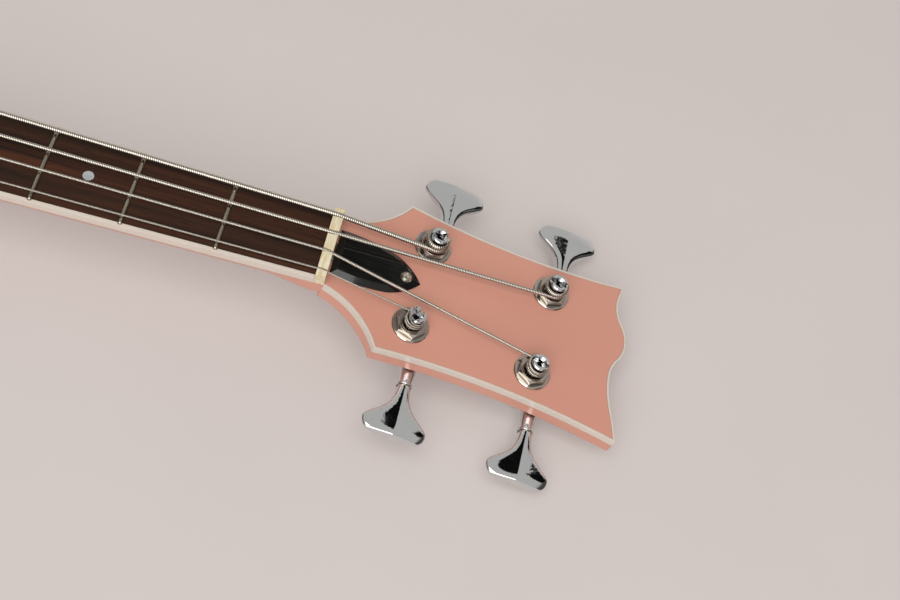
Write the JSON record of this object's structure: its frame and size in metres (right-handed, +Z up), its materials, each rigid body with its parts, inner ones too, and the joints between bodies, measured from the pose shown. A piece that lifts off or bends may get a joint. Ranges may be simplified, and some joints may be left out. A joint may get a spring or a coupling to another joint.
{
  "type": "electric bass guitar",
  "caption": "Double-cutaway electric bass guitar with bolt-on neck, tilted headstock, geared tuners, sliding bridge saddles and turning control knobs.",
  "frame": {"origin": "on the flat back of the body, on the centre line, under the line where the strings leave the saddles", "axes": "+X along the strings towards the headstock, +Y across towards the thickest string, +Z up out of the front"},
  "size_m": [1.1278, 0.3206, 0.0605],
  "materials": {
    "pink_lacquer": "clear gloss lacquer over salmon paint",
    "cream_binding": "polished",
    "rosewood": "oiled, open grain",
    "nickel_silver": "polished",
    "pearl": "polished",
    "bone": "polished bone",
    "steel": "plain",
    "black_gloss": "polished",
    "chrome": "mirror plated",
    "screw_nickel": "nickel plated",
    "string_wrap": "round wound",
    "brass": "plain",
    "coil_copper": "enamelled wire",
    "pot_metal": "plain",
    "wire_cover": "plain",
    "capacitor_red": "dipped"
  },
  "bodies": {
    "instrument": {"neck_shaft": "pink_lacquer", "headstock": "pink_lacquer", "body": "pink_lacquer", "headstock_binding": "cream_binding", "fretboard_binding": "cream_binding", "body_binding": "cream_binding", "fretboard": "rosewood", "frets": "nickel_silver", "fret_markers": "pearl", "nut": "bone", "truss_rod": "steel", "truss_rod_cover": "black_gloss", "neck_pickup_cover": "black_gloss", "bridge_pickup_cover": "black_gloss", "control_cover": "black_gloss", "tuner_housings": "chrome", "tuner_bushings": "chrome", "tuner_washers": "chrome", "bridge_plate": "chrome", "neck_plate": "chrome", "strap_buttons": "chrome", "control_nuts": "chrome", "output_jack": "chrome", "truss_cover_screw": "screw_nickel", "tuner_screws": "screw_nickel", "bridge_screws": "screw_nickel", "intonation_screws": "screw_nickel", "neck_screws": "screw_nickel", "strap_button_screws": "screw_nickel", "control_cover_screws": "screw_nickel", "pickup_screws": "screw_nickel", "string_e": "string_wrap", "string_a": "string_wrap", "string_d": "string_wrap", "string_g": "string_wrap", "ball_ends": "brass", "pickup_coils": "coil_copper", "pots": "pot_metal", "wiring": "wire_cover", "capacitor": "capacitor_red"},
    "rod_nut": {"truss_rod_nut": "steel"},
    "key_e": {"tuner_key_e": "chrome", "worm_shaft_e": "chrome"},
    "post_e": {"string_post_e": "chrome"},
    "saddle_e": {"saddle_e": "chrome"},
    "key_a": {"tuner_key_a": "chrome", "worm_shaft_a": "chrome"},
    "post_a": {"string_post_a": "chrome"},
    "saddle_a": {"saddle_a": "chrome"},
    "key_d": {"tuner_key_d": "chrome", "worm_shaft_d": "chrome"},
    "post_d": {"string_post_d": "chrome"},
    "saddle_d": {"saddle_d": "chrome"},
    "key_g": {"tuner_key_g": "chrome", "worm_shaft_g": "chrome"},
    "post_g": {"string_post_g": "chrome"},
    "saddle_g": {"saddle_g": "chrome"},
    "neck_volume_knob": {"neck_volume_knob": "chrome"},
    "bridge_volume_knob": {"bridge_volume_knob": "chrome"},
    "tone_knob": {"tone_knob": "chrome"}
  },
  "joints": [
    {"name": "key_e_turn", "type": "hinge", "parent": "instrument", "child": "key_e", "pos_m": [0.91956, 0.0235, 0.02201], "axis": [0, 1, 0], "continuous": true},
    {"name": "post_e_turn", "type": "hinge", "parent": "instrument", "child": "post_e", "pos_m": [0.91439, 0.0235, 0.03993], "axis": [0.1736, 0, 0.9848], "continuous": true},
    {"name": "key_a_turn", "type": "hinge", "parent": "instrument", "child": "key_a", "pos_m": [0.98259, 0.0235, 0.01089], "axis": [0, 1, 0], "continuous": true},
    {"name": "post_a_turn", "type": "hinge", "parent": "instrument", "child": "post_a", "pos_m": [0.97742, 0.0235, 0.02881], "axis": [0.1736, 0, 0.9848], "continuous": true},
    {"name": "key_d_turn", "type": "hinge", "parent": "instrument", "child": "key_d", "pos_m": [0.98141, -0.0235, 0.0111], "axis": [0, 1, 0], "continuous": true},
    {"name": "post_d_turn", "type": "hinge", "parent": "instrument", "child": "post_d", "pos_m": [0.97624, -0.0235, 0.02902], "axis": [0.1736, 0, 0.9848], "continuous": true},
    {"name": "key_g_turn", "type": "hinge", "parent": "instrument", "child": "key_g", "pos_m": [0.91838, -0.0235, 0.02221], "axis": [0, 1, 0], "continuous": true},
    {"name": "post_g_turn", "type": "hinge", "parent": "instrument", "child": "post_g", "pos_m": [0.91321, -0.0235, 0.04013], "axis": [0.1736, 0, 0.9848], "continuous": true},
    {"name": "saddle_e_slide", "type": "slide", "parent": "instrument", "child": "saddle_e", "axis": [1, 0, 0], "range_m": [-0.003, 0.003]},
    {"name": "saddle_a_slide", "type": "slide", "parent": "instrument", "child": "saddle_a", "axis": [1, 0, 0], "range_m": [-0.003, 0.003]},
    {"name": "saddle_d_slide", "type": "slide", "parent": "instrument", "child": "saddle_d", "axis": [1, 0, 0], "range_m": [-0.003, 0.003]},
    {"name": "saddle_g_slide", "type": "slide", "parent": "instrument", "child": "saddle_g", "axis": [1, 0, 0], "range_m": [-0.003, 0.003]},
    {"name": "neck_volume_turn", "type": "hinge", "parent": "instrument", "child": "neck_volume_knob", "pos_m": [0.072, -0.088, 0.047], "axis": [0, 0, 1], "range_deg": [-150, 150]},
    {"name": "bridge_volume_turn", "type": "hinge", "parent": "instrument", "child": "bridge_volume_knob", "pos_m": [0.042, -0.092, 0.047], "axis": [0, 0, 1], "range_deg": [-150, 150]},
    {"name": "tone_turn", "type": "hinge", "parent": "instrument", "child": "tone_knob", "pos_m": [0.012, -0.096, 0.047], "axis": [0, 0, 1], "range_deg": [-150, 150]},
    {"name": "rod_nut_turn", "type": "hinge", "parent": "instrument", "child": "rod_nut", "pos_m": [0.8791, 0, 0.0408], "axis": [1, 0, 0], "range_deg": [-360, 360]}
  ],
  "couplings": [
    {"joint": "post_e_turn", "follows": "key_e_turn", "ratio": -0.05},
    {"joint": "post_a_turn", "follows": "key_a_turn", "ratio": -0.05},
    {"joint": "post_d_turn", "follows": "key_d_turn", "ratio": -0.05},
    {"joint": "post_g_turn", "follows": "key_g_turn", "ratio": -0.05}
  ]
}
